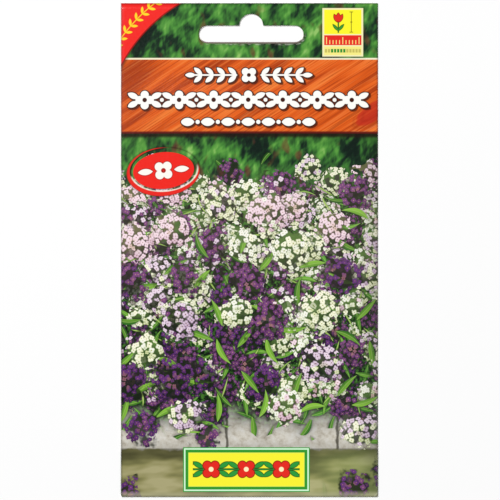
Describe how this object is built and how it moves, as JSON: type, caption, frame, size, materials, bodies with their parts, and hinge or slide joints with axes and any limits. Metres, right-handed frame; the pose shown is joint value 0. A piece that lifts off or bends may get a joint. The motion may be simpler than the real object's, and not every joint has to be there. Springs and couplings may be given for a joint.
{
  "type": "seed packet",
  "caption": "Flat printed paper seed packet with a hanging slot through its header, folded and glued round a foil sachet of seeds.",
  "frame": {"origin": "under the middle of the packet, on the surface that it lies on", "axes": "+X across the packet, +Y from its bottom fold to its header, +Z out of its printed front"},
  "size_m": [0.079, 0.1518, 0.0019],
  "materials": {
    "coated_paper": "satin",
    "glue": "satin",
    "foil": "satin",
    "seed_coat": "matte"
  },
  "bodies": {
    "root": {"paper_wrap": "coated_paper", "back_seam_glue": "glue", "bottom_flap_glue": "glue", "header_glue": "glue", "sachet_back": "foil", "sachet_front": "foil", "seed_01": "seed_coat", "seed_02": "seed_coat", "seed_03": "seed_coat", "seed_04": "seed_coat", "seed_05": "seed_coat", "seed_06": "seed_coat", "seed_07": "seed_coat", "seed_08": "seed_coat", "seed_09": "seed_coat", "seed_10": "seed_coat", "seed_11": "seed_coat", "seed_12": "seed_coat", "seed_13": "seed_coat", "seed_14": "seed_coat", "seed_15": "seed_coat", "seed_16": "seed_coat", "seed_17": "seed_coat", "seed_18": "seed_coat", "seed_19": "seed_coat", "seed_20": "seed_coat", "seed_21": "seed_coat", "seed_22": "seed_coat", "seed_23": "seed_coat", "seed_24": "seed_coat", "seed_25": "seed_coat", "seed_26": "seed_coat", "seed_27": "seed_coat", "seed_28": "seed_coat", "seed_29": "seed_coat", "seed_30": "seed_coat", "seed_31": "seed_coat", "seed_32": "seed_coat", "seed_33": "seed_coat", "seed_34": "seed_coat", "seed_35": "seed_coat", "seed_36": "seed_coat"}
  },
  "joints": []
}
